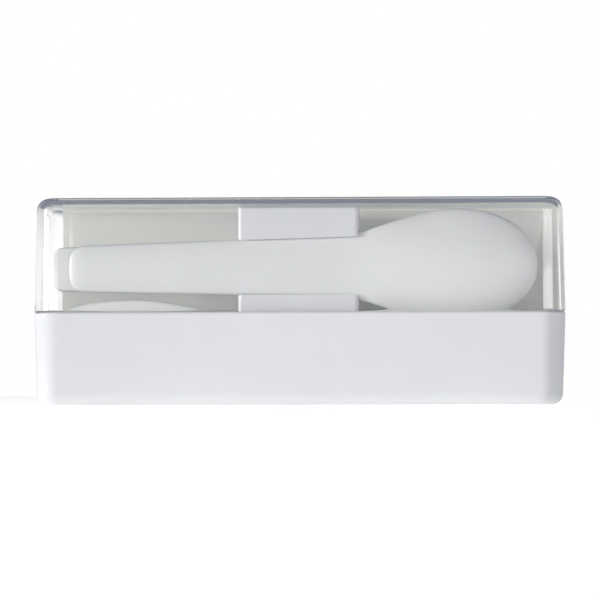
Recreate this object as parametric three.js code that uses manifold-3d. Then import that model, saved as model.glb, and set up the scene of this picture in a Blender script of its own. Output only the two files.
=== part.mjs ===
// A reusable cutlery pack: a spoon, a fork and a knife held in a moulded block, inside a white
// base with a clear lift-off lid. Millimetres, +Z up, +X along the case, the front towards -Y.
// The origin is on the surface that the case stands on, under its middle.
import * as THREE from "three";
import { mergeVertices } from "three/addons/utils/BufferGeometryUtils.js";
import Module from "manifold-3d";

const wasm = await Module();
wasm.setup();

// Spoon
const SPOON_TAIL = 94.2; // from the start of the neck's flare to the handle's end
const SPOON_END_WIDTH = 16.5;
const SPOON_NECK_WIDTH = 21.9;
const SPOON_FLARE_IN_HOLDER = 9.3; // how far inside the holder the neck starts to widen
const BOWL_FLARE = 43.7; // from the start of the flare to the bowl's widest place
const BOWL_NOSE = 29.1; // from there to the tip
const BOWL_WIDTH = 41.2;
const BOWL_ROUNDNESS = 2.12; // 2 is an ellipse, and more is squarer
const BOWL_DEPTH = 6.3;
const BOWL_EDGE = 1; // height of its rounded side
const BOWL_DOME = 0.75; // under 1 is fuller than an arch
const BOWL_FALL = 2.2; // roundness of the back's fall to the tip
const BOWL_WALL = 1.8;
const BOWL_PROUD = 0.7; // how far the bowl's back stands in front of the holder
const RIM_RISE_AFTER = 5; // from the holder to where the rear starts to rise to the bowl's rim
const RIM_RISE_BEFORE = 8; // from the end of that rise to the bowl's widest place
const NECK_DIP = 0.6; // how far the neck's crest falls back between handle and bowl
const SPOON_LEAN = 0.4; // degrees that the spoon and the knife lean in their channel's play

// Knife
const KNIFE_TAIL = 89.4; // from the holder's middle to the handle's end
const KNIFE_END_WIDTH = 16;
const KNIFE_NECK_WIDTH = 19.6;
const KNIFE_TIP_SHORT = 6; // how far the knife's tip stops short of the spoon's
const BLADE_WIDTH = 17.6;
const BLADE_THICKNESS = 1.5;
const BLADE_BLEND = 12; // length over which the handle turns into the blade
const BLADE_NOSE = 24; // length of the blade's rounded nose
const NOSE_ROUNDNESS = 2.3;
const GRIND = 0.7; // share of the thickness that the cutting edge loses
const TOOTH_PITCH = 2.5;
const TOOTH_DEPTH = 0.6;

// Fork
const FORK_TAIL = 84; // from the holder's middle to the handle's end
const FORK_END_WIDTH = 16.5;
const FORK_NECK_WIDTH = 20.4;
const FORK_HEAD_WIDTH = 30.4;
const FORK_NECK_FROM = 20.4; // from the holder's middle to where the head starts to widen
const FORK_NECK_LENGTH = 37.7;
const FORK_TIPS = 30.9; // from the head's widest place to the tine tips
const FORK_RUN_ON = 3.5; // past the tips, to where the head's sides would meet
const HEAD_ROUNDNESS = 2.4;
const FORK_BEND = 4.2; // how far the tine tips curve back
const TINE_LENGTH = 37;
const TINE_COUNT = 4;
const TINE_GAP = 2.8;
const TINE_THICKNESS = 1.7;
const TINE_POINT = 6; // length of a tine's pointed end
const TINE_EVEN = 4; // from the tips, where all the tines are equally wide
const GAP_AT_POINTS = 1.15; // times the gap at its root
const GAP_PAST_TIPS = 2.1;
const HEAD_HOLLOW = 1.2; // depth of the head's hollow

// What all three handles share
const HANDLE_DEPTH = 2.9; // crest to rear plane
const HANDLE_EDGE = 2.1; // height of the rounded side
const SIDE_SQUARENESS = 14; // more is a smaller radius where a side meets the front
const HANDLE_WALL = 2.0;
const HANDLE_ROUND = 7; // length of the rounded end
const END_ROUNDNESS = 3;
const EDGE_ROUND = 2; // length over which an end thins out
const RIM_WIDTH = 1.4; // flat land round a hollow rear

// Holder
const HOLDER_WIDTH = 43;
const HOLDER_DEPTH = 28.4;
const HOLDER_WALL = 1.8;
const HOLDER_CORNER = 1.5;
const HOLDER_CLEARANCE = 0.4; // to the base's front and back walls at the floor
const HANDLE_FLUSH = 0.1; // how far the handles lie behind the holder's face
const MIDDLE_LAND = 7.1; // height of the rail between the two channels
const LIP_THICKNESS = 0.7;
const LIP_COVER = 0.5; // how far the lips reach over a handle's edges
const ABOVE_BOWL = 0.9; // how far the holder stands above the bowl
const BELOW_FORK = 4.8; // from the base's floor to the fork's head

// Base
const BASE_HEIGHT = 33;
const BASE_WALL = 2.2;
const BASE_FLOOR = 2.2;
const BASE_DRAFT = 1.2; // how much each side leans in from rim to floor
const BASE_FILLET = 4;
const CORNER_RADIUS = 9; // seen from above, at the parting line
const RIM_WALL = 1.2; // what is left of the wall outside the lid's tongue
const RIB_WIDTH = 1.4; // ribs that keep the holder in the middle
const RIB_HEIGHT = 2.5;
const RIB_LENGTH = 20;

// Lid
const LID_WALL = 2.0;
const LID_TOP = 2.0;
const LID_DRAFT = 0.9;
const LID_FILLET = 4.5;
const LID_HEADROOM = 1.4; // above the holder
const TONGUE_DEPTH = 4;
const TONGUE_WALL = 1.0;
const TONGUE_CLEARANCE = 0.2;
const END_CLEARANCE = 3.4; // from the longest piece of cutlery to the end wall

const CLEARANCE = 0.3; // between pieces that touch
const LEAST_ROUND = 0.4; // radius of the sharpest inside corner

// Places that follow from the sizes
const holderHalf = HOLDER_WIDTH / 2;
const face = -HOLDER_DEPTH / 2;
const handleCrest = face + HANDLE_FLUSH;
const handleRear = handleCrest + HANDLE_DEPTH;
const knifeCrest = handleRear + CLEARANCE;
const knifeRear = knifeCrest + HANDLE_DEPTH;
const bowlCrest = face - BOWL_PROUD;
const bowlRim = bowlCrest + BOWL_DEPTH;

const flareStart = holderHalf - SPOON_FLARE_IN_HOLDER;
const bowlWidest = flareStart + BOWL_FLARE;
const spoonTip = bowlWidest + BOWL_NOSE;
const spoonEnd = flareStart - SPOON_TAIL;
const knifeTip = spoonTip - KNIFE_TIP_SHORT;
const forkWidest = -FORK_NECK_FROM - FORK_NECK_LENGTH;
const forkReach = FORK_TIPS - forkWidest;
const forkNose = FORK_TIPS + FORK_RUN_ON;

const forkAxis = BASE_FLOOR + BELOW_FORK + FORK_HEAD_WIDTH / 2;
const forkMouthHalf = FORK_NECK_WIDTH / 2 - LIP_COVER;
const spoonMouthBottom = forkAxis + forkMouthHalf + MIDDLE_LAND;
const spoonAxis = spoonMouthBottom + spoonTaper(0) - LIP_COVER;
const holderTop = spoonAxis + BOWL_WIDTH / 2 + ABOVE_BOWL;
const caseHeight = holderTop + LID_HEADROOM + LID_TOP;

const longest = Math.max(KNIFE_TAIL, forkReach, FORK_TAIL, spoonTip, -spoonEnd);
const caseLength = 2 * (longest + END_CLEARANCE + BASE_WALL);
const caseDepth = HOLDER_DEPTH + 2 * (HOLDER_CLEARANCE + BASE_DRAFT + BASE_WALL);

const group = new THREE.Group();

// Shapes of the cutlery

// From 0 to 1 as x goes from a to b, level at both ends.
function ease(x, a, b) {
  const t = THREE.MathUtils.clamp((x - a) / (b - a), 0, 1);
  return t * t * (3 - 2 * t);
}

// A quarter of a superellipse: 1 at the start of a rounded end of this length, 0 at its tip.
function closing(distanceToTip, length, power) {
  const u = THREE.MathUtils.clamp(1 - distanceToTip / length, 0, 1);
  return (1 - u ** power) ** (1 / power);
}

function lerp(x, x0, v0, x1, v1) {
  return v0 + ((v1 - v0) * (x - x0)) / (x1 - x0);
}

function leanAt(x) {
  return x * Math.tan(THREE.MathUtils.degToRad(SPOON_LEAN));
}

// Half the width of the spoon's handle before its neck flares and its end is rounded.
function spoonTaper(x) {
  return lerp(x, flareStart - SPOON_TAIL, SPOON_END_WIDTH / 2, flareStart, SPOON_NECK_WIDTH / 2);
}

function spoonHalf(x) {
  if (x > bowlWidest) return (BOWL_WIDTH / 2) * closing(spoonTip - x, BOWL_NOSE, BOWL_ROUNDNESS);
  const flare = ease(x, flareStart, bowlWidest);
  const half = THREE.MathUtils.lerp(spoonTaper(x), BOWL_WIDTH / 2, flare);
  return half * closing(x - spoonEnd, HANDLE_ROUND, END_ROUNDNESS);
}

function knifeHandleHalf(x) {
  const half = lerp(x, -KNIFE_TAIL, KNIFE_END_WIDTH / 2, holderHalf, KNIFE_NECK_WIDTH / 2);
  return half * closing(x + KNIFE_TAIL, HANDLE_ROUND, END_ROUNDNESS);
}

function forkHalf(x) {
  const headHalf = FORK_HEAD_WIDTH / 2;
  if (x < forkWidest) return headHalf * closing(x - forkWidest + forkNose, forkNose, HEAD_ROUNDNESS);
  const taper = lerp(x, -FORK_NECK_FROM, FORK_NECK_WIDTH / 2, FORK_TAIL, FORK_END_WIDTH / 2);
  const head = ease(x, -FORK_NECK_FROM, forkWidest);
  const half = THREE.MathUtils.lerp(taper, headHalf, head);
  return half * closing(FORK_TAIL - x, HANDLE_ROUND, END_ROUNDNESS);
}

// One cross-section of a moulded utensil, square to its length. The front is crowned, the sides
// are rounded, and the rear is flat or hollowed inside a narrow rim. thin brings it to its middle
// plane at an end. bevel thins the lower edge, as on a blade.
function utensilRing({ x, z, half, rear, crest, edge, wall, dome = 1, thin = 1, bevel = 0 }) {
  const middle = (rear + crest) / 2;
  const back = middle + (rear - middle) * thin;
  const side = edge * thin;
  const crown = (back - middle) * 2 - side;
  const hollow = Math.max(0, (back - middle) * 2 - wall);
  const inner = Math.max(half - RIM_WIDTH, half * 0.6);
  const ring = [];
  const rearSteps = 8;
  for (let i = 0; i <= rearSteps; i++) {
    const v = -Math.cos((Math.PI * i) / rearSteps);
    ring.push(new THREE.Vector3(x, back - hollow * (1 - v * v) ** dome, z + v * inner));
  }
  const frontSteps = 14;
  for (let i = 0; i <= frontSteps; i++) {
    const u = Math.cos((Math.PI * i) / frontSteps);
    const flank = Math.sqrt(1 - u ** SIDE_SQUARENESS);
    const ground = 1 - bevel * ease(-u, -0.4, 1);
    const rise = (side * flank + crown * Math.max(0, 1 - u * u) ** dome) * ground;
    ring.push(new THREE.Vector3(x, back - rise, z + u * half));
  }
  return ring;
}

function spoonRing(x) {
  const handle = 1 - ease(x, flareStart, bowlWidest);
  const alongFlare = THREE.MathUtils.clamp((x - flareStart) / BOWL_FLARE, 0, 1);
  const dip = NECK_DIP * Math.sin(Math.PI * alongFlare) ** 2;
  const rise = ease(x, holderHalf + RIM_RISE_AFTER, bowlWidest - RIM_RISE_BEFORE);
  const rear = THREE.MathUtils.lerp(handleRear, bowlRim, rise);
  const full = THREE.MathUtils.lerp(bowlCrest, handleCrest, handle) + dip;
  const nose = x > bowlWidest ? closing(spoonTip - x, BOWL_NOSE, BOWL_FALL) : 1;
  const edge = THREE.MathUtils.lerp(BOWL_EDGE, HANDLE_EDGE, handle);
  return utensilRing({
    x,
    z: spoonAxis + leanAt(x),
    half: spoonHalf(x),
    rear,
    crest: rear - edge - (rear - edge - full) * nose,
    edge,
    wall: THREE.MathUtils.lerp(BOWL_WALL, HANDLE_WALL, handle),
    dome: THREE.MathUtils.lerp(BOWL_DOME, 1, handle),
    thin: closing(Math.min(x - spoonEnd, spoonTip - x), EDGE_ROUND, 2),
  });
}

function knifeRing(x) {
  const blade = ease(x, holderHalf - BLADE_BLEND, holderHalf);
  const nose = closing(knifeTip - x, BLADE_NOSE, NOSE_ROUNDNESS);
  const tooth = x > holderHalf + BLADE_BLEND && nose > 0.8 ? TOOTH_DEPTH * toothAt(x) : 0;
  const halfBlade = BLADE_WIDTH / 2;
  const top = THREE.MathUtils.lerp(knifeHandleHalf(x), halfBlade * nose, blade);
  const bottom = THREE.MathUtils.lerp(-knifeHandleHalf(x), -halfBlade * nose + tooth, blade);
  return utensilRing({
    x,
    z: spoonAxis + leanAt(x) + (top + bottom) / 2,
    half: (top - bottom) / 2,
    rear: THREE.MathUtils.lerp(knifeRear, knifeRear - CLEARANCE, blade),
    crest: THREE.MathUtils.lerp(knifeCrest, knifeRear - CLEARANCE - BLADE_THICKNESS, blade),
    edge: THREE.MathUtils.lerp(HANDLE_EDGE, BLADE_THICKNESS, blade),
    wall: HANDLE_WALL,
    thin: closing(Math.min(x + KNIFE_TAIL, knifeTip - x), EDGE_ROUND, 2),
    bevel: GRIND * blade,
  });
}

// 0 at a tooth's point and 1 between two teeth.
function toothAt(x) {
  const phase = ((x / TOOTH_PITCH) % 1 + 1) % 1;
  return 1 - Math.abs(2 * phase - 1);
}

function forkRing(x) {
  const head = ease(x, -FORK_NECK_FROM, forkWidest);
  const towardsTips = THREE.MathUtils.clamp((-FORK_NECK_FROM - x) / (forkReach - FORK_NECK_FROM), 0, 1);
  const sweep = FORK_BEND * towardsTips ** 2.4 - NECK_DIP * Math.sin(Math.PI * towardsTips);
  const depth = THREE.MathUtils.lerp(HANDLE_DEPTH, TINE_THICKNESS + HEAD_HOLLOW, head);
  const edge = THREE.MathUtils.lerp(HANDLE_EDGE, TINE_THICKNESS, head);
  return utensilRing({
    x,
    z: forkAxis,
    half: forkHalf(x),
    rear: handleCrest + depth + sweep,
    crest: handleCrest + sweep,
    edge,
    wall: THREE.MathUtils.lerp(HANDLE_WALL, TINE_THICKNESS, head),
    thin: closing(Math.min(x + forkReach, FORK_TAIL - x), EDGE_ROUND, 2),
  });
}

// Places along x from a to b, closer together towards the end that is named tight.
function places(a, b, steps, tight = "none") {
  return Array.from({ length: steps }, (_, i) => {
    const t = i / steps;
    if (tight === "start") return a + (b - a) * (1 - Math.cos((t * Math.PI) / 2));
    if (tight === "end") return a + (b - a) * Math.sin((t * Math.PI) / 2);
    return a + (b - a) * t;
  });
}

// Meshes and solids

const past = 2; // a cutter reaches this far past what it cuts

// A closed skin over rings with equally many points, each anticlockwise seen from the last one.
function loft(rings) {
  const count = rings[0].length;
  const position = rings.flat().flatMap((p) => [p.x, p.y, p.z]);
  const index = [];
  for (let i = 0; i + 1 < rings.length; i++)
    for (let j = 0; j < count; j++) {
      const a = i * count + j;
      const b = i * count + ((j + 1) % count);
      index.push(a, b, b + count, a, b + count, a + count);
    }
  const last = (rings.length - 1) * count;
  for (let j = 1; j + 1 < count; j++) {
    index.push(0, j + 1, j);
    index.push(last, last + j, last + j + 1);
  }
  const geometry = new THREE.BufferGeometry();
  geometry.setAttribute("position", new THREE.Float32BufferAttribute(position, 3));
  geometry.setIndex(index);
  return geometry;
}

function solid(geometry) {
  const bare = geometry.clone();
  bare.deleteAttribute("normal");
  bare.deleteAttribute("uv");
  const merged = mergeVertices(bare, 1e-4);
  return new wasm.Manifold(
    new wasm.Mesh({
      numProp: 3,
      vertProperties: merged.attributes.position.array,
      triVerts: new Uint32Array(merged.index.array),
    }),
  );
}

function geometryOf(manifold) {
  const mesh = manifold.getMesh();
  const geometry = new THREE.BufferGeometry();
  geometry.setAttribute("position", new THREE.BufferAttribute(mesh.vertProperties, 3));
  geometry.setIndex(new THREE.BufferAttribute(mesh.triVerts, 1));
  return geometry;
}

function outline(points) {
  return new THREE.Shape(points.map(([a, b]) => new THREE.Vector2(a, b)));
}

function extruded(shape, depth) {
  return new THREE.ExtrudeGeometry(shape, { depth, bevelEnabled: false, curveSegments: 6 });
}

// A shape drawn in (y, z) and extruded along x.
function alongX(shape, from, to) {
  const turn = new THREE.Matrix4().set(0, 0, 1, from, 1, 0, 0, 0, 0, 1, 0, 0, 0, 0, 0, 1);
  return solid(extruded(shape, to - from).applyMatrix4(turn));
}

// A shape drawn in (x, z) and extruded along y.
function alongY(shape, from, to) {
  const turn = new THREE.Matrix4().set(1, 0, 0, 0, 0, 0, -1, to, 0, 1, 0, 0, 0, 0, 0, 1);
  return solid(extruded(shape, to - from).applyMatrix4(turn));
}

// A shape drawn in (x, y) and extruded along z.
function alongZ(shape, from, to) {
  return solid(extruded(shape, to - from).translate(0, 0, from));
}

function block(x0, x1, y0, y1, z0, z1) {
  const geometry = new THREE.BoxGeometry(x1 - x0, y1 - y0, z1 - z0);
  return solid(geometry.translate((x0 + x1) / 2, (y0 + y1) / 2, (z0 + z1) / 2));
}

// The case's outline seen from above, drawn in by inset, at height z.
function caseRing(inset, z) {
  const radius = Math.max(CORNER_RADIUS - inset, LEAST_ROUND);
  const x = caseLength / 2 - inset - radius;
  const y = caseDepth / 2 - inset - radius;
  const corners = [[x, y], [-x, y], [-x, -y], [x, -y]];
  const steps = 8;
  return corners.flatMap(([cx, cy], corner) =>
    Array.from({ length: steps + 1 }, (_, i) => {
      const angle = ((corner + i / steps) * Math.PI) / 2;
      return new THREE.Vector3(cx + radius * Math.cos(angle), cy + radius * Math.sin(angle), z);
    }),
  );
}

// A quarter round in a wall's section, as [inset, z] pairs, about a centre from one angle to another.
function quarter(inset, z, radius, from, to, steps = 5) {
  return Array.from({ length: steps + 1 }, (_, i) => {
    const angle = THREE.MathUtils.degToRad(from + ((to - from) * i) / steps);
    return [inset + radius * Math.cos(angle), z + radius * Math.sin(angle)];
  });
}

function shell(profile) {
  return loft(profile.map(([inset, z]) => caseRing(inset, z)));
}

// The pieces

// The base is one moulding with a flat floor, sides that lean in, and a rebate inside its rim.
function baseTub() {
  const lean = (z) => (BASE_DRAFT * (BASE_HEIGHT - z)) / BASE_HEIGHT;
  const innerRound = Math.max(BASE_FILLET - BASE_WALL, LEAST_ROUND);
  const shelf = BASE_HEIGHT - TONGUE_DEPTH - TONGUE_CLEARANCE;
  const foot = lean(BASE_FILLET) + BASE_FILLET;
  const floorRound = lean(BASE_FLOOR + innerRound) + BASE_WALL + innerRound;
  const profile = [
    ...quarter(foot, BASE_FILLET, BASE_FILLET, 270, 180),
    [0, BASE_HEIGHT],
    [RIM_WALL, BASE_HEIGHT],
    [RIM_WALL, shelf],
    [lean(shelf) + BASE_WALL, shelf],
    ...quarter(floorRound, BASE_FLOOR + innerRound, innerRound, 180, 270),
  ];
  let tub = solid(shell(profile));
  for (const side of [-1, 1]) {
    const near = side * (holderHalf + CLEARANCE);
    const far = side * (holderHalf + CLEARANCE + RIB_WIDTH);
    const rib = block(
      Math.min(near, far),
      Math.max(near, far),
      -RIB_LENGTH / 2,
      RIB_LENGTH / 2,
      BASE_FLOOR / 2,
      BASE_FLOOR + RIB_HEIGHT,
    );
    tub = tub.add(rib);
  }
  return geometryOf(tub);
}

// The lid is one clear moulding. The tongue round its lower edge plugs into the base's rebate.
function lid() {
  const lean = (z) => (LID_DRAFT * (z - BASE_HEIGHT)) / (caseHeight - BASE_HEIGHT);
  const innerRound = Math.max(LID_FILLET - LID_WALL, LEAST_ROUND);
  const ceiling = caseHeight - LID_TOP;
  const tongueOuter = RIM_WALL + TONGUE_CLEARANCE;
  const tongueInner = tongueOuter + TONGUE_WALL;
  const tongueFoot = BASE_HEIGHT - TONGUE_DEPTH;
  const upper = caseHeight - LID_FILLET;
  const profile = [
    ...quarter(lean(ceiling) + LID_WALL + innerRound, ceiling - innerRound, innerRound, 90, 180),
    [Math.min(LID_WALL, tongueInner), BASE_HEIGHT],
    [tongueInner, BASE_HEIGHT],
    [tongueInner, tongueFoot],
    [tongueOuter, tongueFoot],
    [tongueOuter, BASE_HEIGHT],
    [0, BASE_HEIGHT],
    ...quarter(lean(upper) + LID_FILLET, upper, LID_FILLET, 180, 90),
  ];
  return shell(profile);
}

// The holder is a hollow block, open at the back. Its front has an upper channel for the knife and
// the spoon, and a lower one for the fork. Lips along the channels reach over the handles' edges.
function holder() {
  const bottom = BASE_FLOOR;
  const foot = Math.max(BASE_FILLET - BASE_WALL, LEAST_ROUND) + HOLDER_CLEARANCE;
  const r = HOLDER_CORNER;
  const plan = new THREE.Shape();
  plan.moveTo(-holderHalf, -face);
  plan.lineTo(-holderHalf, face + r);
  plan.absarc(-holderHalf + r, face + r, r, Math.PI, 1.5 * Math.PI);
  plan.absarc(holderHalf - r, face + r, r, 1.5 * Math.PI, 2 * Math.PI);
  plan.lineTo(holderHalf, -face);
  const side = outline([
    [face + foot, bottom],
    [-face - foot, bottom],
    [-face, bottom + foot],
    [-face, holderTop],
    [face + r / 2, holderTop],
    [face, holderTop - r / 2],
    [face, bottom + foot],
  ]);
  let body = alongZ(plan, bottom, holderTop).intersect(alongX(side, -holderHalf, holderHalf));

  const left = -holderHalf - past;
  const right = holderHalf + past;
  const upperFloor = knifeRear + CLEARANCE;
  const lowerFloor = handleRear + CLEARANCE;
  const behindLips = face + LIP_THICKNESS;
  const mouthTop = (x) => spoonAxis + spoonTaper(x) - LIP_COVER;
  const upperMouth = outline([
    [left, spoonMouthBottom],
    [right, spoonMouthBottom],
    [right, mouthTop(right)],
    [left, mouthTop(left)],
  ]);
  const lowerMouth = outline([
    [left, forkAxis - forkMouthHalf],
    [right, forkAxis - forkMouthHalf],
    [right, forkAxis + forkMouthHalf],
    [left, forkAxis + forkMouthHalf],
  ]);
  // The channel behind the lips follows the cutlery's own outline, with a clearance all round.
  const channel = (half, middle) => {
    const xs = [...places(left, right, 12), right];
    return outline([
      ...xs.map((x) => [x, middle(x) - half(x) - CLEARANCE]),
      ...xs.reverse().map((x) => [x, middle(x) + half(x) + CLEARANCE]),
    ]);
  };
  const upperChannel = channel(
    (x) => Math.max(spoonHalf(x), knifeHandleHalf(x)),
    (x) => spoonAxis + leanAt(x),
  );
  const lowerChannel = channel(forkHalf, () => forkAxis);
  body = body
    .subtract(alongY(upperMouth, face - past, upperFloor))
    .subtract(alongY(lowerMouth, face - past, lowerFloor))
    .subtract(alongY(upperChannel, behindLips, upperFloor))
    .subtract(alongY(lowerChannel, behindLips, lowerFloor));

  const front = face + HOLDER_WALL;
  const upperTop = spoonAxis + leanAt(right) + spoonHalf(right) + CLEARANCE + HOLDER_WALL;
  const lowerTop = forkAxis + FORK_NECK_WIDTH / 2 + CLEARANCE;
  const lowerBottom = forkAxis - FORK_NECK_WIDTH / 2 - CLEARANCE - HOLDER_WALL;
  const core = outline([
    [-face + past, bottom + HOLDER_WALL],
    [face + foot + HOLDER_WALL, bottom + HOLDER_WALL],
    [front, bottom + foot + HOLDER_WALL],
    [front, lowerBottom],
    [lowerFloor + HOLDER_WALL, lowerBottom],
    [lowerFloor + HOLDER_WALL, lowerTop],
    [upperFloor + HOLDER_WALL, lowerTop],
    [upperFloor + HOLDER_WALL, upperTop],
    [front, upperTop],
    [front, holderTop - HOLDER_WALL],
    [-face + past, holderTop - HOLDER_WALL],
  ]);
  return geometryOf(body.subtract(alongX(core, -holderHalf + HOLDER_WALL, holderHalf - HOLDER_WALL)));
}

const sliver = 0.05; // the last ring of an end stops this far short of its tip

function spoon() {
  const xs = [
    ...places(spoonEnd + sliver, spoonEnd + HANDLE_ROUND, 7, "start"),
    ...places(spoonEnd + HANDLE_ROUND, flareStart, 4),
    ...places(flareStart, bowlWidest, 13),
    ...places(bowlWidest, spoonTip - sliver, 13, "end"),
    spoonTip - sliver,
  ];
  return loft(xs.map(spoonRing));
}

function knife() {
  const toothed = holderHalf + BLADE_BLEND;
  const noseStart = knifeTip - BLADE_NOSE;
  const halfPitch = TOOTH_PITCH / 2;
  const first = Math.ceil(toothed / TOOTH_PITCH) * 2;
  const last = Math.floor((noseStart + BLADE_NOSE / 2) / TOOTH_PITCH) * 2;
  const teeth = Array.from({ length: last - first + 1 }, (_, i) => (first + i) * halfPitch);
  const xs = [
    ...places(-KNIFE_TAIL + sliver, -KNIFE_TAIL + HANDLE_ROUND, 7, "start"),
    ...places(-KNIFE_TAIL + HANDLE_ROUND, holderHalf - BLADE_BLEND, 4),
    ...places(holderHalf - BLADE_BLEND, holderHalf, 5),
    holderHalf,
    ...teeth,
    ...places(teeth.at(-1) + halfPitch, knifeTip - sliver, 8, "end"),
    knifeTip - sliver,
  ];
  return loft(xs.map(knifeRing));
}

// The slot between two tines, tapered towards the tips and flared where the tines are pointed.
function tineSlot(rootZ, tipZ) {
  const root = -forkReach + TINE_LENGTH;
  const half = TINE_GAP / 2;
  const straight = -forkReach + TINE_POINT;
  const beyond = -forkReach - past;
  const zAt = (x) => forkAxis + lerp(x, root, rootZ, -forkReach, tipZ);
  const slot = new THREE.Shape();
  slot.moveTo(beyond, zAt(beyond) - half * GAP_PAST_TIPS);
  slot.lineTo(straight, zAt(straight) - half * GAP_AT_POINTS);
  slot.lineTo(root - half, zAt(root - half) - half);
  slot.absarc(root - half, zAt(root - half), half, -Math.PI / 2, Math.PI / 2);
  slot.lineTo(straight, zAt(straight) + half * GAP_AT_POINTS);
  slot.lineTo(beyond, zAt(beyond) + half * GAP_PAST_TIPS);
  return alongY(slot, face - HANDLE_DEPTH, -face);
}

function fork() {
  const xs = [
    ...places(-forkReach + sliver, forkWidest, 12, "start"),
    ...places(forkWidest, -FORK_NECK_FROM, 10),
    ...places(-FORK_NECK_FROM, FORK_TAIL - HANDLE_ROUND, 5),
    ...places(FORK_TAIL - HANDLE_ROUND, FORK_TAIL - sliver, 7, "end"),
    FORK_TAIL - sliver,
  ];
  let blank = solid(loft(xs.map(forkRing)));
  const rootHalf = forkHalf(-forkReach + TINE_LENGTH);
  const tipHalf = forkHalf(-forkReach + TINE_EVEN);
  const share = (half) => (2 * half + TINE_GAP) / TINE_COUNT; // a tine and a gap
  for (let i = 1; i < TINE_COUNT; i++) {
    const place = i - TINE_COUNT / 2;
    blank = blank.subtract(tineSlot(place * share(rootHalf), place * share(tipHalf)));
  }
  return geometryOf(blank);
}

function moulded(colour, roughness) {
  return new THREE.MeshStandardMaterial({ color: colour, roughness, metalness: 0 });
}

const clear = moulded(0xe9edea, 0.05);
clear.transparent = true;
clear.opacity = 0.2;

const pieces = [
  ["base_tub", baseTub(), moulded(0xe6e7ea, 0.25)],
  ["lid", lid(), clear],
  ["cutlery_holder", holder(), moulded(0xe3e4e8, 0.35)],
  ["spoon", spoon(), moulded(0xe4e4e5, 0.4)],
  ["knife", knife(), moulded(0xe4e4e5, 0.4)],
  ["fork", fork(), moulded(0xe4e4e5, 0.4)],
];
for (const [name, geometry, material] of pieces) {
  geometry.computeVertexNormals();
  const mesh = new THREE.Mesh(geometry, material);
  mesh.name = name;
  group.add(mesh);
}

export default group;
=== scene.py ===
import math
import bpy
import bmesh
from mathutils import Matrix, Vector


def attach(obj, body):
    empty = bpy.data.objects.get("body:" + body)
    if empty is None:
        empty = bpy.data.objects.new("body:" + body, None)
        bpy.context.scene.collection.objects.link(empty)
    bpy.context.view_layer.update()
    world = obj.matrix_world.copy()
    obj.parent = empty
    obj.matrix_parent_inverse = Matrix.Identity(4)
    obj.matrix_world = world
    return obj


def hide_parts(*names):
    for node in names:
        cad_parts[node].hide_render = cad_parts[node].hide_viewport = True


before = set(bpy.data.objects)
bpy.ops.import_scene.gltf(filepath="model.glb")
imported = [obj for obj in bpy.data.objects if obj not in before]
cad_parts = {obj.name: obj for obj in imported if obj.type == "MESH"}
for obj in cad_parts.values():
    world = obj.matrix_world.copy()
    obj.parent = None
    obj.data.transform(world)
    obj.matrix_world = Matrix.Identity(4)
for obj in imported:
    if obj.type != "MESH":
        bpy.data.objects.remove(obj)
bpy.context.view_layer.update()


# Studio and camera
# A catalogue shot on a light table in a white room. The camera stands just above table height, a
# little to the right of the middle, and looks slightly up at the case through a long lens.

def linear(hex_colour):
    channels = [int(hex_colour[i:i + 2], 16) / 255 for i in (1, 3, 5)]
    return [c / 12.92 if c <= 0.04045 else ((c + 0.055) / 1.055) ** 2.4 for c in channels] + [1.0]


def add(tree, kind, settings=None, links=None):
    node = tree.nodes.new(kind)
    for key, value in (settings or {}).items():
        if isinstance(key, int) or key in node.inputs:
            node.inputs[key].default_value = value
        else:
            setattr(node, key, value)
    for key, source in (links or {}).items():
        tree.links.new(source, node.inputs[key])
    return node


scene = bpy.context.scene
scene.view_settings.view_transform = "Standard"

camera_distance = 0.95
camera_turn = math.radians(2.2)
camera_height = 0.004
camera_roll = math.radians(-0.1)
aim = Vector((0.0, 0.0, 0.0377))

lens = bpy.data.cameras.new("studio_camera")
lens.sensor_width = 36.0
lens.lens = 158.0
lens.clip_start = 0.01
lens.clip_end = 50.0
camera = bpy.data.objects.new("studio_camera", lens)
bpy.context.collection.objects.link(camera)
camera.location = (camera_distance * math.sin(camera_turn),
                   -camera_distance * math.cos(camera_turn), camera_height)
camera.rotation_euler = (aim - camera.location).to_track_quat("-Z", "Y").to_euler()
camera.rotation_euler.rotate_axis("Z", camera_roll)
scene.camera = camera


# The lamps face the middle of the case.
def softbox(name, place, width, height, power):
    light = bpy.data.lights.new(name, "AREA")
    light.shape = "RECTANGLE"
    light.size = width
    light.size_y = height
    light.energy = power
    lamp = bpy.data.objects.new(name, light)
    bpy.context.collection.objects.link(lamp)
    lamp.location = place
    case_middle = Vector((0.0, 0.0, 0.04))
    lamp.rotation_euler = (case_middle - Vector(place)).to_track_quat("-Z", "Y").to_euler()


# A far softbox on the left gives the light its direction. The two strips are low and near, one on
# each side, where the case's rounded corners mirror them and its flat front doesn't.
softbox("key_softbox", (-3.84, -1.64, 0.44), 0.95, 0.95, 132.0)
softbox("left_strip", (-0.625, -0.875, 0.10), 0.92, 0.16, 0.75)
softbox("right_strip", (0.70, -0.85, 0.10), 0.92, 0.16, 1.9)

world = bpy.data.worlds.new("studio_white")
scene.world = world
world.use_nodes = True
sky = world.node_tree
sky.nodes.clear()


def room_colour(first_rise, full_rise, overhead):
    way = add(sky, "ShaderNodeSeparateXYZ", None,
              {0: add(sky, "ShaderNodeTexCoord").outputs["Generated"]})
    rise = add(sky, "ShaderNodeMapRange",
               {"interpolation_type": "SMOOTHSTEP", 1: first_rise, 2: full_rise},
               {0: way.outputs[2]})
    return add(sky, "ShaderNodeMix",
               {"data_type": "RGBA", 6: (1.0, 1.0, 1.0, 1.0), 7: linear(overhead)},
               {0: rise.outputs[0]}).outputs[2]


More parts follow.
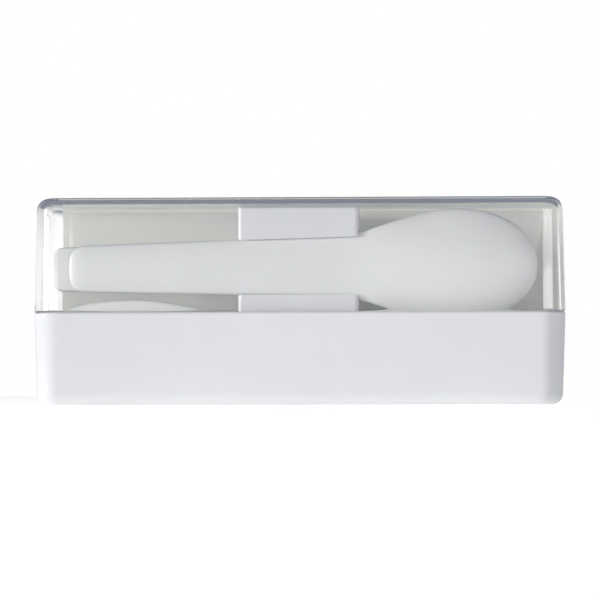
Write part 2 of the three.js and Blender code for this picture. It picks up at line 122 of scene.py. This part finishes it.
# The room is white at eye level and dim overhead, and the camera sees plain white. What gloss and
# clear plastic show of it dims sooner but less, which draws the blue-grey line on the lid's top.
ambient = add(sky, "ShaderNodeBackground", {"Strength": 0.85},
              {"Color": room_colour(0.0, 0.5, "#5a5f6c")})
mirrored = add(sky, "ShaderNodeBackground", {"Strength": 1.0},
               {"Color": room_colour(0.08, 0.32, "#858a97")})
white = add(sky, "ShaderNodeBackground", {"Color": (1.0, 1.0, 1.0, 1.0), "Strength": 1.0})
path = add(sky, "ShaderNodeLightPath")
bent = add(sky, "ShaderNodeMath", {"operation": "ADD", "use_clamp": True},
           {0: path.outputs["Is Glossy Ray"], 1: path.outputs["Is Transmission Ray"]})
mixed = add(sky, "ShaderNodeMixShader", None,
            {0: bent.outputs[0], 1: ambient.outputs[0], 2: mirrored.outputs[0]})
mixed = add(sky, "ShaderNodeMixShader", None,
            {0: path.outputs["Is Camera Ray"], 1: mixed.outputs[0], 2: white.outputs[0]})
add(sky, "ShaderNodeOutputWorld", None, {"Surface": mixed.outputs[0]})


def new_material(name):
    material = bpy.data.materials.new(name)
    material.use_nodes = True
    material.node_tree.nodes.clear()
    return material, material.node_tree


def stage_sheet(name, corners, material):
    mesh = bpy.data.meshes.new(name)
    mesh.from_pydata(corners, [], [(0, 1, 2, 3)])
    sheet = bpy.data.objects.new(name, mesh)
    bpy.context.collection.objects.link(sheet)
    mesh.materials.append(material)


# The floor is the opal top of a light table. It glows softly under the case and keeps its shadow,
# and where the camera sees it, a little more light of its own makes it white.
opal, tree = new_material("opal_acrylic_light_table")
soft_glow, glow_in_view = 0.3, 0.45
fleck = add(tree, "ShaderNodeTexNoise", {"Scale": 900.0, "Detail": 3.0},
            {"Vector": add(tree, "ShaderNodeTexCoord").outputs["Object"]})
tooth = add(tree, "ShaderNodeBump", {"Strength": 0.05, "Distance": 0.0001},
            {"Height": fleck.outputs[0]})
lit = add(tree, "ShaderNodeBsdfDiffuse", {"Color": linear("#fafafa")},
          {"Normal": tooth.outputs[0]})
path = add(tree, "ShaderNodeLightPath")
level = add(tree, "ShaderNodeMath", {"operation": "MULTIPLY_ADD", 1: glow_in_view, 2: soft_glow},
            {0: path.outputs["Is Camera Ray"]})
glow = add(tree, "ShaderNodeEmission", {"Color": (1.0, 1.0, 1.0, 1.0)},
           {"Strength": level.outputs[0]})
both = add(tree, "ShaderNodeAddShader", None, {0: lit.outputs[0], 1: glow.outputs[0]})
add(tree, "ShaderNodeOutputMaterial", None, {"Surface": both.outputs[0]})
stage_sheet("light_table", [(-4, -4, 0), (4, -4, 0), (4, 4, 0), (-4, 4, 0)], opal)

# A white sheet close behind the case shows through its clear lid and takes the cutlery's soft
# shadows. It keeps no light from the case's back, and from behind it isn't there: only what the
# lid lets through, at once or after some turns in its walls, meets it.
sheet, tree = new_material("white_sheet_behind")
lit = add(tree, "ShaderNodeBsdfDiffuse", {"Color": linear("#eeefe7")})
white = add(tree, "ShaderNodeEmission", {"Color": (1.0, 1.0, 1.0, 1.0), "Strength": 1.0})
absent = add(tree, "ShaderNodeBsdfTransparent")
path = add(tree, "ShaderNodeLightPath")
turned = add(tree, "ShaderNodeMath", {"operation": "GREATER_THAN", 1: 1.5},
             {0: path.outputs["Glossy Depth"]})
met = add(tree, "ShaderNodeMath", {"operation": "MAXIMUM"},
          {0: path.outputs["Is Transmission Ray"], 1: turned.outputs[0]})
front = add(tree, "ShaderNodeMixShader", None,
            {0: met.outputs[0], 1: absent.outputs[0], 2: lit.outputs[0]})
front = add(tree, "ShaderNodeMixShader", None,
            {0: path.outputs["Is Camera Ray"], 1: front.outputs[0], 2: white.outputs[0]})
whole = add(tree, "ShaderNodeMixShader", None,
            {0: add(tree, "ShaderNodeNewGeometry").outputs["Backfacing"],
             1: front.outputs[0], 2: absent.outputs[0]})
add(tree, "ShaderNodeOutputMaterial", None, {"Surface": whole.outputs[0]})
sheet_left, sheet_right, sheet_place, sheet_top = -0.0886, 0.13, 0.0186, 0.084
stage_sheet("white_sheet_behind",
            [(sheet_left, sheet_place, 0.0), (sheet_right, sheet_place, 0.0),
             (sheet_right, sheet_place, sheet_top), (sheet_left, sheet_place, sheet_top)], sheet)


# Base
# The opaque lower half of the case, one glossy white injection moulding in ABS. Its sides lean
# in for the mould, its outside edges are rounded, and a rebate inside its rim takes the lid.

millimetre = 0.001
case_length, case_depth, case_height = 190.0, 36.0, 74.0
corner_radius = 9.0
parting = 33.0
edge_margin, seam_margin = 0.6, 1.0


# Next to each end of a corner's arc, a point a little way along the straight side keeps the flat
# sides flat in the shading.
def case_outline(inset, z, steps=14):
    radius = max(corner_radius - inset, 0.4)
    x, y = case_length / 2 - inset - radius, case_depth / 2 - inset - radius
    points = []
    for corner, (cx, cy) in enumerate([(x, y), (-x, y), (-x, -y), (x, -y)]):
        turns = [(corner + i / steps) * math.pi / 2 for i in range(steps + 1)]
        arc = [(cx + radius * math.cos(a), cy + radius * math.sin(a)) for a in turns]
        start = (arc[0][0] + edge_margin * math.sin(turns[0]),
                 arc[0][1] - edge_margin * math.cos(turns[0]))
        end = (arc[-1][0] - edge_margin * math.sin(turns[-1]),
               arc[-1][1] + edge_margin * math.cos(turns[-1]))
        points += [(px, py, z) for px, py in [start] + arc + [end]]
    return points


def quarter_round(inset, z, radius, start, end, steps=8):
    turns = [math.radians(start + (end - start) * i / steps) for i in range(steps + 1)]
    return [(inset + radius * math.cos(a), z + radius * math.sin(a)) for a in turns]


def smoothed(mesh, sharp=32.0):
    mesh.shade_smooth()
    mesh.set_sharp_from_angle(angle=math.radians(sharp))


def skin(name, rings, sharp=32.0):
    count = len(rings[0])
    points = [[c * millimetre for c in point] for ring in rings for point in ring]
    faces = [list(range(count))[::-1]]
    for i in range(len(rings) - 1):
        for j in range(count):
            a, b = i * count + j, i * count + (j + 1) % count
            faces.append((a, b, b + count, a + count))
    last = (len(rings) - 1) * count
    faces.append(list(range(last, last + count)))
    mesh = bpy.data.meshes.new(name)
    mesh.from_pydata(points, [], faces)
    tidy = bmesh.new()
    tidy.from_mesh(mesh)
    bmesh.ops.remove_doubles(tidy, verts=tidy.verts, dist=1e-6)
    bmesh.ops.recalc_face_normals(tidy, faces=tidy.faces)
    tidy.to_mesh(mesh)
    tidy.free()
    smoothed(mesh, sharp)
    piece = bpy.data.objects.new(name, mesh)
    bpy.context.collection.objects.link(piece)
    return piece


base_draft = 1.2


def base_lean(z):
    return base_draft * (parting - z) / parting


base_wall = 2.2
foot_round, rim_round = 4.0, 0.9
rebate, rebate_floor = 1.2, 28.8
foot_inset = base_lean(foot_round) + foot_round
base_profile = (
    [(foot_inset + edge_margin, 0.0)]
    + quarter_round(foot_inset, foot_round, foot_round, 270, 180, 12)
    + [(base_lean(foot_round + edge_margin), foot_round + edge_margin),
       (base_lean(parting - seam_margin), parting - seam_margin)]
    + quarter_round(rim_round, parting - rim_round, rim_round, 180, 90, 4)
    + [(rebate, parting), (rebate, rebate_floor),
       (base_lean(rebate_floor) + base_wall, rebate_floor)]
    + quarter_round(foot_inset, foot_round, foot_round - base_wall, 180, 270)
)
base = skin("base_moulding", [case_outline(inset, z) for inset, z in base_profile])


# Every moulded face has a slow wave, where the wall shrank as it cooled, and a fine grain.
def moulded_relief(tree, wave_mm, wave_depth, grain_mm, grain_depth):
    place = add(tree, "ShaderNodeTexCoord").outputs["Object"]
    wave = add(tree, "ShaderNodeTexNoise", {"Scale": 1000 / wave_mm, "Detail": 1.0},
               {"Vector": place})
    swell = add(tree, "ShaderNodeBump", {"Strength": 1.0, "Distance": wave_depth * millimetre},
                {"Height": wave.outputs[0]})
    grain = add(tree, "ShaderNodeTexNoise", {"Scale": 1000 / grain_mm, "Detail": 2.0},
                {"Vector": place})
    return add(tree, "ShaderNodeBump", {"Strength": 1.0, "Distance": grain_depth * millimetre},
               {"Height": grain.outputs[0], "Normal": swell.outputs[0]}).outputs[0]


def patchy(tree, patch_mm, least, most, detail=2.0):
    place = add(tree, "ShaderNodeTexCoord").outputs["Object"]
    patches = add(tree, "ShaderNodeTexNoise", {"Scale": 1000 / patch_mm, "Detail": detail},
                  {"Vector": place})
    return add(tree, "ShaderNodeMapRange", {1: 0.3, 2: 0.7, 3: least, 4: most},
               {0: patches.outputs[0]}).outputs[0]


# ABS takes a high gloss from a polished mould. What gives it away is the slow waviness of its
# reflections, where the wall shrank over its floor and corners, and the marks of handling.
base_plastic, tree = new_material("abs_injection_moulded_gloss_white")
white = add(tree, "ShaderNodeMix",
            {"data_type": "RGBA", 6: linear("#e9e9ea"), 7: linear("#e6e6e8")},
            {0: patchy(tree, 30, 0.0, 1.0)})
shader = add(tree, "ShaderNodeBsdfPrincipled",
             {"IOR": 1.54, "Subsurface Weight": 0.05, "Subsurface Scale": 0.001},
             {"Base Color": white.outputs[2], "Roughness": patchy(tree, 25, 0.13, 0.17, 3.0),
              "Normal": moulded_relief(tree, 40, 0.01, 0.6, 0.0004)})
add(tree, "ShaderNodeOutputMaterial", None, {"Surface": shader.outputs[0]})


def sized_tree(name, sizes):
    tree = bpy.data.node_groups.new(name, "GeometryNodeTree")
    kinds = {int: "NodeSocketInt", float: "NodeSocketFloat", Vector: "NodeSocketVector"}
    tree.interface.new_socket("Geometry", in_out="INPUT", socket_type="NodeSocketGeometry")
    for label, size in sizes.items():
        tree.interface.new_socket(label, in_out="INPUT",
                                  socket_type=kinds.get(type(size), "NodeSocketMaterial"))
    tree.interface.new_socket("Geometry", in_out="OUTPUT", socket_type="NodeSocketGeometry")
    return tree, add(tree, "NodeGroupInput").outputs


def baked(piece):
    whole = piece.evaluated_get(bpy.context.evaluated_depsgraph_get())
    mesh = bpy.data.meshes.new_from_object(whole)
    piece.modifiers.clear()
    piece.data = mesh


def worked(piece, tree, sizes, shape, plastic):
    real = add(tree, "GeometryNodeRealizeInstances", None, {0: shape})
    finished = add(tree, "GeometryNodeSetMaterial", None,
                   {0: real.outputs[0], "Material": plastic})
    add(tree, "NodeGroupOutput", None, {0: finished.outputs[0]})
    step = piece.modifiers.new(tree.name, "NODES")
    step.node_group = tree
    for socket in tree.interface.items_tree:
        if socket.name in sizes:
            step[socket.identifier] = sizes[socket.name]
    baked(piece)
    smoothed(piece.data)


# Two low ribs stand on the floor, one on each side of the holder's foot, and taper for the mould.
rib_sizes = {"Spacing": 45.0 * millimetre, "Width": 1.4 * millimetre, "Length": 20.0 * millimetre,
             "Height": 2.7 * millimetre, "Middle": 3.35 * millimetre, "Plastic": base_plastic}
ribs, given = sized_tree("locating_ribs", rib_sizes)
left = add(ribs, "ShaderNodeMath", {"operation": "MULTIPLY", 1: -0.5}, {0: given["Spacing"]})
pair = add(ribs, "GeometryNodeMeshLine", {"Count": 2},
           {"Start Location": add(ribs, "ShaderNodeCombineXYZ", None,
                                  {0: left.outputs[0], 2: given["Middle"]}).outputs[0],
            "Offset": add(ribs, "ShaderNodeCombineXYZ", None, {0: given["Spacing"]}).outputs[0]})
bar = add(ribs, "GeometryNodeMeshCube", None,
          {"Size": add(ribs, "ShaderNodeCombineXYZ", None,
                       {0: given["Width"], 1: given["Length"], 2: given["Height"]}).outputs[0]})
at = add(ribs, "ShaderNodeSeparateXYZ", None,
         {0: add(ribs, "GeometryNodeInputPosition").outputs[0]})
taper = add(ribs, "ShaderNodeMapRange", {1: 0.0, 2: 0.001, 3: 1.0, 4: 0.75}, {0: at.outputs[2]})
slim = add(ribs, "ShaderNodeMath", {"operation": "MULTIPLY"},
           {0: at.outputs[0], 1: taper.outputs[0]})
bar = add(ribs, "GeometryNodeSetPosition", None,
          {0: bar.outputs["Mesh"],
           "Position": add(ribs, "ShaderNodeCombineXYZ", None,
                           {0: slim.outputs[0], 1: at.outputs[1], 2: at.outputs[2]}).outputs[0]})
standing = add(ribs, "GeometryNodeInstanceOnPoints", None,
               {"Points": pair.outputs[0], "Instance": bar.outputs[0]})
joined = add(ribs, "GeometryNodeMeshBoolean", {"solver": "EXACT", "operation": "UNION"},
             {"Mesh 2": given["Geometry"]})
ribs.links.new(standing.outputs[0], joined.inputs["Mesh 2"])
worked(base, ribs, rib_sizes, joined.outputs[0], given["Plastic"])
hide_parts("base_tub")
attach(base, "base")


# Holder
# The white block in the middle of the case, a hollow satin moulding that is open behind. Its
# front has a channel for the spoon and the knife and one for the fork, with lips that grip them.

holder_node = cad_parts["cutlery_holder"]
block = bmesh.new()
block.from_mesh(holder_node.data)
bmesh.ops.remove_doubles(block, verts=block.verts, dist=2e-6)
bmesh.ops.dissolve_limit(block, angle_limit=math.radians(1.0), verts=block.verts,
                         edges=block.edges)
holder_mesh = bpy.data.meshes.new("holder_block")
block.to_mesh(holder_mesh)
block.free()
holder = bpy.data.objects.new("holder_block", holder_mesh)
bpy.context.collection.objects.link(holder)
broken_edge = holder.modifiers.new("broken_edge", "BEVEL")
broken_edge.width = 0.28 * millimetre
broken_edge.segments = 3
broken_edge.limit_method = "ANGLE"
broken_edge.angle_limit = math.radians(35)
broken_edge.harden_normals = True
baked(holder)

# The same satin finish as the cutlery's, from a spark-eroded mould: its grain of about 0.05 mm is
# too fine to show, so it is drawn at 0.5 mm and very shallow.
holder_plastic, tree = new_material("polypropylene_moulded_satin_white")
white = add(tree, "ShaderNodeMix",
            {"data_type": "RGBA", 6: linear("#e7e7ea"), 7: linear("#e4e4e7")},
            {0: patchy(tree, 14, 0.0, 1.0)})
shader = add(tree, "ShaderNodeBsdfPrincipled",
             {"IOR": 1.49, "Subsurface Weight": 0.1, "Subsurface Scale": 0.001},
             {"Base Color": white.outputs[2], "Roughness": patchy(tree, 6, 0.36, 0.46, 4.0),
              "Normal": moulded_relief(tree, 15, 0.03, 0.5, 0.002)})
add(tree, "ShaderNodeOutputMaterial", None, {"Surface": shader.outputs[0]})
holder.data.materials.clear()
holder.data.materials.append(holder_plastic)
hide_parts("cutlery_holder")
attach(holder, "base")


# Fork
# The lowest piece, a satin white moulding with a shallow channel under its handle. It lies in the
# lower channel with its head to the left, and its four tines curve back towards their tips.

holder_half = 21.5
handle_crest, handle_rear = -14.1, -11.2
fork_axis = 22.2
fork_widest, fork_reach, fork_tail, fork_neck = -58.1, 89.0, 84.0, -20.4
head_half, head_nose, fork_thickness = 15.2, 34.4, 2.9
tip_sweep, head_bow = 4.2, 0.6
end_round, edge_round, tip_gap = 7, 2, 0.02


def clamp(value, low=0.0, high=1.0):
    return max(low, min(high, value))


def between(a, b, share):
    return a + (b - a) * share


def ease(x, start, end):
    t = clamp((x - start) / (end - start))
    return t * t * (3 - 2 * t)


def closing(distance, length, power):
    u = clamp(1 - distance / length)
    return (1 - u ** power) ** (1 / power)


# One cross-section of a piece of cutlery: a rear face with a channel inside its lips, square
# flanks of the height edge, and a front face that domes from them up to the crest.
def utensil_ring(x, z, half, rear, crest, edge, wall, dome=1.0, thin=1.0, ground=0.0):
    lip, squareness = 1.4, 24
    rear_steps, front_steps = 22, 44
    middle = (rear + crest) / 2
    back = middle + (rear - middle) * thin
    side = edge * thin
    crown = (back - middle) * 2 - side
    hollow = max(0.0, (back - middle) * 2 - wall)
    inner = max(half - lip, half * 0.6)
    ring = []
    for i in range(rear_steps + 1):
        v = -math.cos(math.pi * i / rear_steps)
        ring.append((x, back - hollow * max(0.0, 1 - v * v) ** dome, z + v * inner))
    for i in range(front_steps + 1):
        u = math.cos(math.pi * i / front_steps)
        flank = math.sqrt(max(0.0, 1 - u ** squareness))
        rise = side * flank + crown * max(0.0, 1 - u * u) ** dome
        ring.append((x, back - rise * (1 - ground * ease(-u, -0.4, 1)), z + u * half))
    return ring


def fork_half(x):
    if x < fork_widest:
        return head_half * closing(x - fork_widest + head_nose, head_nose, 2.4)
    taper = between(10.2, 8.25, (x - fork_neck) / (fork_tail - fork_neck))
    return (between(taper, head_half, ease(x, fork_neck, fork_widest))
            * closing(fork_tail - x, end_round, 3))


def fork_ring(x):
    head = ease(x, fork_neck, fork_widest)
    along = clamp((fork_neck - x) / (fork_reach + fork_neck))
    sweep = tip_sweep * along ** 2.4 - head_bow * math.sin(math.pi * along)
    return utensil_ring(x, fork_axis, fork_half(x), handle_crest + fork_thickness + sweep,
                        handle_crest + sweep, between(2.1, 1.7, head), between(2.0, 1.7, head),
                        thin=closing(min(x + fork_reach, fork_tail - x), edge_round, 2))


def stations(start, end, count, crowd="none"):
    shares = [i / count for i in range(count)]
    if crowd == "start":
        shares = [1 - math.cos(s * math.pi / 2) for s in shares]
    if crowd == "end":
        shares = [math.sin(s * math.pi / 2) for s in shares]
    return [start + (end - start) * s for s in shares]


fork_stations = (stations(-fork_reach + tip_gap, fork_widest, 40, "start")
                 + stations(fork_widest, fork_neck, 40)
                 + stations(fork_neck, fork_tail - end_round, 24)
                 + stations(fork_tail - end_round, fork_tail - tip_gap, 24, "end")
                 + [fork_tail - tip_gap])
fork = skin("fork_moulding", [fork_ring(x) for x in fork_stations])

# White polypropylene from a satin mould. A little light goes into it, which softens its shadows,
# and its thin rims look a touch warmer than the case.
cutlery_plastic, tree = new_material("polypropylene_moulded_cutlery_white")
white = add(tree, "ShaderNodeMix",
            {"data_type": "RGBA", 6: linear("#eeeeed"), 7: linear("#ebebea")},
            {0: patchy(tree, 18, 0.0, 1.0)})
shader = add(tree, "ShaderNodeBsdfPrincipled",
             {"IOR": 1.49, "Subsurface Weight": 0.15, "Subsurface Scale": 0.0012},
             {"Base Color": white.outputs[2], "Roughness": patchy(tree, 7, 0.34, 0.44, 4.0),
              "Normal": moulded_relief(tree, 20, 0.03, 0.5, 0.0015)})
add(tree, "ShaderNodeOutputMaterial", None, {"Surface": shader.outputs[0]})

# The slots between the tines are cut by a row of wedges that lean in towards the tips. Each has a
# round root, and widens near the tips, which narrows the tines there.
slot_root = Vector((-52.0 * millimetre, 0.0, fork_axis * millimetre))
slot_sizes = {"Root": slot_root, "Slots": 3, "Pitch": 8.15 * millimetre,
              "Gap": 2.8 * millimetre, "Length": 40.0 * millimetre,
              "Lean": math.radians(3.1), "Plastic": cutlery_plastic}
tines, given = sized_tree("tine_slots", slot_sizes)
rows = add(tines, "ShaderNodeMath", {"operation": "SUBTRACT", 1: 1.0}, {0: given["Slots"]})
half_rows = add(tines, "ShaderNodeMath", {"operation": "MULTIPLY", 1: 0.5}, {0: rows.outputs[0]})
drop = add(tines, "ShaderNodeMath", {"operation": "MULTIPLY"},
           {0: half_rows.outputs[0], 1: given["Pitch"]})
lowest = add(tines, "ShaderNodeVectorMath", {"operation": "SUBTRACT"},
             {0: given["Root"],
              1: add(tines, "ShaderNodeCombineXYZ", None, {2: drop.outputs[0]}).outputs[0]})
row = add(tines, "GeometryNodeMeshLine", None,
          {"Count": given["Slots"], "Start Location": lowest.outputs[0],
           "Offset": add(tines, "ShaderNodeCombineXYZ", None, {2: given["Pitch"]}).outputs[0]})
wedge = add(tines, "GeometryNodeMeshCube", {"Vertices X": 24},
            {"Size": add(tines, "ShaderNodeCombineXYZ", {1: 0.06},
                         {0: given["Length"], 2: given["Gap"]}).outputs[0]})
at = add(tines, "ShaderNodeSeparateXYZ", None,
         {0: add(tines, "GeometryNodeInputPosition").outputs[0]})
middle = add(tines, "ShaderNodeMath", {"operation": "MULTIPLY", 1: -0.5}, {0: given["Length"]})
shifted = add(tines, "ShaderNodeMath", {"operation": "ADD"},
              {0: at.outputs[0], 1: middle.outputs[0]})
widening = add(tines, "ShaderNodeMapRange",
               {"interpolation_type": "SMOOTHSTEP", 1: -0.028, 2: -0.041, 3: 1.0, 4: 2.1},
               {0: shifted.outputs[0]})
spread = add(tines, "ShaderNodeMath", {"operation": "MULTIPLY"},
             {0: at.outputs[2], 1: widening.outputs[0]})
wedge = add(tines, "GeometryNodeSetPosition", None,
            {0: wedge.outputs["Mesh"],
             "Position": add(tines, "ShaderNodeCombineXYZ", None,
                             {0: shifted.outputs[0], 1: at.outputs[1],
                              2: spread.outputs[0]}).outputs[0]})
half_gap = add(tines, "ShaderNodeMath", {"operation": "MULTIPLY", 1: 0.5}, {0: given["Gap"]})
round_root = add(tines, "GeometryNodeMeshCylinder", {"Vertices": 40, "Depth": 0.06},
                 {"Radius": half_gap.outputs[0]})
laid = add(tines, "GeometryNodeTransform", {"Rotation": (math.pi / 2, 0.0, 0.0)},
           {0: round_root.outputs["Mesh"]})
cutter = add(tines, "GeometryNodeJoinGeometry", None, {0: wedge.outputs[0]})
tines.links.new(laid.outputs[0], cutter.inputs[0])
from_middle = add(tines, "ShaderNodeMath", {"operation": "SUBTRACT"},
                  {0: add(tines, "GeometryNodeInputIndex").outputs[0], 1: half_rows.outputs[0]})
turned = add(tines, "ShaderNodeMath", {"operation": "MULTIPLY"},
             {0: from_middle.outputs[0], 1: given["Lean"]})
turn_back = add(tines, "ShaderNodeMath", {"operation": "MULTIPLY", 1: -1.0},
                {0: turned.outputs[0]})
wedges = add(tines, "GeometryNodeInstanceOnPoints", None,
             {"Points": row.outputs[0], "Instance": cutter.outputs[0],
              "Rotation": add(tines, "ShaderNodeCombineXYZ", None,
                              {1: turn_back.outputs[0]}).outputs[0]})
cut = add(tines, "GeometryNodeMeshBoolean",
          {"solver": "EXACT", "operation": "DIFFERENCE", "Self Intersection": True},
          {"Mesh 1": given["Geometry"], "Mesh 2": wedges.outputs[0]})
worked(fork, tines, slot_sizes, cut.outputs[0], given["Plastic"])
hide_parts("fork")
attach(fork, "base")


# Knife
# A satin white moulding behind the spoon in the upper channel. Its flat blade is ground to a thin
# lower edge with a row of scalloped teeth, and it passes inside the spoon's bowl.

spoon_axis = 49.1
slope = math.tan(math.radians(0.4))
knife_tail, knife_tip = 89.4, 79.0
knife_crest, knife_rear = -10.9, -8.0
blade_start, blade_half, blade_nose = holder_half - 12, 8.8, 24
blade_front, blade_rear = knife_rear - 1.8, knife_rear - 0.3


def lean(x):
    return x * slope


def knife_handle_half(x):
    return (between(8.0, 9.8, (x + knife_tail) / (holder_half + knife_tail))
            * closing(x + knife_tail, end_round, 3))


def knife_ring(x):
    blade = ease(x, blade_start, holder_half)
    nose = closing(knife_tip - x, blade_nose, 2.3)
    half = between(knife_handle_half(x), blade_half * nose, blade)
    return utensil_ring(x, spoon_axis + lean(x), half,
                        between(knife_rear, blade_rear, blade),
                        between(knife_crest, blade_front, blade),
                        between(2.1, 1.5, blade), 2.0,
                        thin=closing(min(x + knife_tail, knife_tip - x), edge_round, 2),
                        ground=0.7 * blade)


knife_stations = (stations(-knife_tail + tip_gap, -knife_tail + end_round, 24, "start")
                  + stations(-knife_tail + end_round, blade_start, 24)
                  + stations(blade_start, holder_half, 20)
                  + stations(holder_half, knife_tip - blade_nose, 16)
                  + stations(knife_tip - blade_nose, knife_tip - tip_gap, 40, "end")
                  + [knife_tip - tip_gap])
knife = skin("knife_moulding", [knife_ring(x) for x in knife_stations])

# Each tooth is the point left between two scallops, 2.5 mm apart and 0.6 mm deep. The row is
# straight, so the scallops fade out where the blade's edge rises to its nose.
first_scallop = 34.0
first = Vector((first_scallop, knife_rear - 1.0,
                spoon_axis + lean(first_scallop) - blade_half - 1.0))
tooth_sizes = {"First": first * millimetre, "Scallops": 15, "Pitch": 2.5 * millimetre,
               "Radius": 1.6 * millimetre, "Lean": slope, "Plastic": cutlery_plastic}
teeth, given = sized_tree("knife_teeth", tooth_sizes)
climb = add(teeth, "ShaderNodeMath", {"operation": "MULTIPLY"},
            {0: given["Pitch"], 1: given["Lean"]})
row = add(teeth, "GeometryNodeMeshLine", None,
          {"Count": given["Scallops"], "Start Location": given["First"],
           "Offset": add(teeth, "ShaderNodeCombineXYZ", None,
                         {0: given["Pitch"], 2: climb.outputs[0]}).outputs[0]})
grinder = add(teeth, "GeometryNodeMeshCylinder", {"Vertices": 36, "Depth": 0.006},
              {"Radius": given["Radius"]})
scallops = add(teeth, "GeometryNodeInstanceOnPoints", {"Rotation": (math.pi / 2, 0.0, 0.0)},
               {"Points": row.outputs[0], "Instance": grinder.outputs["Mesh"]})
cut = add(teeth, "GeometryNodeMeshBoolean", {"solver": "EXACT", "operation": "DIFFERENCE"},
          {"Mesh 1": given["Geometry"], "Mesh 2": scallops.outputs[0]})
worked(knife, teeth, tooth_sizes, cut.outputs[0], given["Plastic"])
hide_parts("knife")
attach(knife, "base")


# Spoon
# The front piece, a satin white moulding that lies face down in the upper channel, so its smooth
# back is towards the viewer and the hollow of its bowl is towards the back of the case.

flare_start, bowl_widest, spoon_tip, spoon_end = 12.2, 55.9, 85.0, -82.0
bowl_crest, bowl_rim = -15.1, -8.6
bowl_half, bowl_nose = 20.6, spoon_tip - bowl_widest
neck_dip, neck_start, neck_lowest = 0.8, -14, 18
swell_start, swell_end = 14, 54
spoon_end_round = 6


def spoon_half(x):
    if x > bowl_widest:
        return bowl_half * closing(spoon_tip - x, bowl_nose, 2.12)
    taper = between(8.25, 10.95, (x - spoon_end) / (flare_start - spoon_end))
    return (between(taper, bowl_half, ease(x, flare_start, bowl_widest))
            * closing(x - spoon_end, end_round, 3))


# The front sinks a little into the neck, rises over the bowl, and closes at the nose.
def spoon_ring(x):
    handle = 1 - ease(x, flare_start, bowl_widest)
    rear = between(handle_rear, bowl_rim, ease(x, holder_half + 5, bowl_widest - 8))
    full = (handle_crest + neck_dip * ease(x, neck_start, neck_lowest)
            + (bowl_crest - handle_crest - neck_dip) * ease(x, swell_start, swell_end))
    nose = closing(spoon_tip - x, bowl_nose, 1.9) if x > bowl_widest else 1.0
    edge = between(1.0, 1.35, handle)
    return utensil_ring(x, spoon_axis + lean(x), spoon_half(x), rear,
                        rear - edge - (rear - edge - full) * nose, edge,
                        between(1.8, 2.0, handle), dome=between(0.95, 1.0, handle),
                        thin=min(closing(x - spoon_end, spoon_end_round, 2),
                                 closing(spoon_tip - x, edge_round, 2)))


spoon_stations = (stations(spoon_end + tip_gap, spoon_end + end_round, 24, "start")
                  + stations(spoon_end + end_round, flare_start, 24)
                  + stations(flare_start, bowl_widest, 60)
                  + stations(bowl_widest, spoon_tip - tip_gap, 60, "end")
                  + [spoon_tip - tip_gap])
spoon = skin("spoon_moulding", [spoon_ring(x) for x in spoon_stations], sharp=50.0)
spoon.data.materials.append(cutlery_plastic)
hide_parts("spoon")
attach(spoon, "base")


# Lid
# The clear upper half of the case, one polished moulding in styrene that lifts straight off. A
# thin tongue round its lower edge plugs into the base, and its rim rests on the base's rim.

lid_draft = 0.9


def lid_lean(z):
    return lid_draft * (z - parting) / (case_height - parting)


lid_wall = 2.0
top_round, lip_round = 4.5, 0.7
tongue_tip, tongue_outside, tongue_inside = 29.0, 1.4, 2.4
ceiling, upper = case_height - lid_wall, case_height - top_round
lid_profile = (
    [(lid_lean(ceiling) + top_round + edge_margin, ceiling)]
    + quarter_round(lid_lean(ceiling) + top_round, upper, top_round - lid_wall, 90, 180)
    + [(lid_lean(upper) + lid_wall, upper - edge_margin), (lid_wall, parting),
       (tongue_inside, parting), (tongue_inside, tongue_tip),
       (tongue_outside, tongue_tip), (tongue_outside, parting)]
    + quarter_round(lip_round, parting + lip_round, lip_round, 270, 180, 4)
    + [(lid_lean(parting + seam_margin), parting + seam_margin),
       (lid_lean(upper), upper - edge_margin)]
    + quarter_round(lid_lean(upper) + top_round, upper, top_round, 180, 90, 12)
    + [(lid_lean(upper) + top_round + edge_margin, case_height)]
)
lid = skin("lid_moulding", [case_outline(inset, z) for inset, z in lid_profile])

# Styrene polished in the mould is clear and bends light strongly. Its 2 mm walls look colourless,
# and it greys only where the light runs along them, as in the edge of its top.
clear_plastic, tree = new_material("polystyrene_injection_moulded_clear")
shader = add(tree, "ShaderNodeBsdfPrincipled",
             {"Base Color": (1.0, 1.0, 1.0, 1.0), "IOR": 1.57, "Transmission Weight": 1.0},
             {"Roughness": patchy(tree, 11, 0.01, 0.04, 5.0),
              "Normal": moulded_relief(tree, 35, 0.025, 3.0, 0.0003)})

# Light on its way to what is inside passes straight, so the cutlery isn't in the dark. So does
# light that a wall has mirrored three times inside: the renderer stops such light before it comes
# out, and the lid's rim would be black.
path = add(tree, "ShaderNodeLightPath")
soft = add(tree, "ShaderNodeMath", {"operation": "MAXIMUM"},
           {0: path.outputs["Is Shadow Ray"], 1: path.outputs["Is Diffuse Ray"]})
caught = add(tree, "ShaderNodeMath", {"operation": "GREATER_THAN", 1: 2.5},
             {0: path.outputs["Glossy Depth"]})
soft = add(tree, "ShaderNodeMath", {"operation": "MAXIMUM"},
           {0: soft.outputs[0], 1: caught.outputs[0]})
straight = add(tree, "ShaderNodeBsdfTransparent", {"Color": linear("#fdfdfd")})
through = add(tree, "ShaderNodeMixShader", None,
              {0: soft.outputs[0], 1: shader.outputs[0], 2: straight.outputs[0]})
depth = add(tree, "ShaderNodeVolumeAbsorption", {"Color": linear("#8e9690"), "Density": 22.0})
add(tree, "ShaderNodeOutputMaterial", None,
    {"Surface": through.outputs[0], "Volume": depth.outputs[0]})
lid.data.materials.append(clear_plastic)
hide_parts("lid")
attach(lid, "lid")
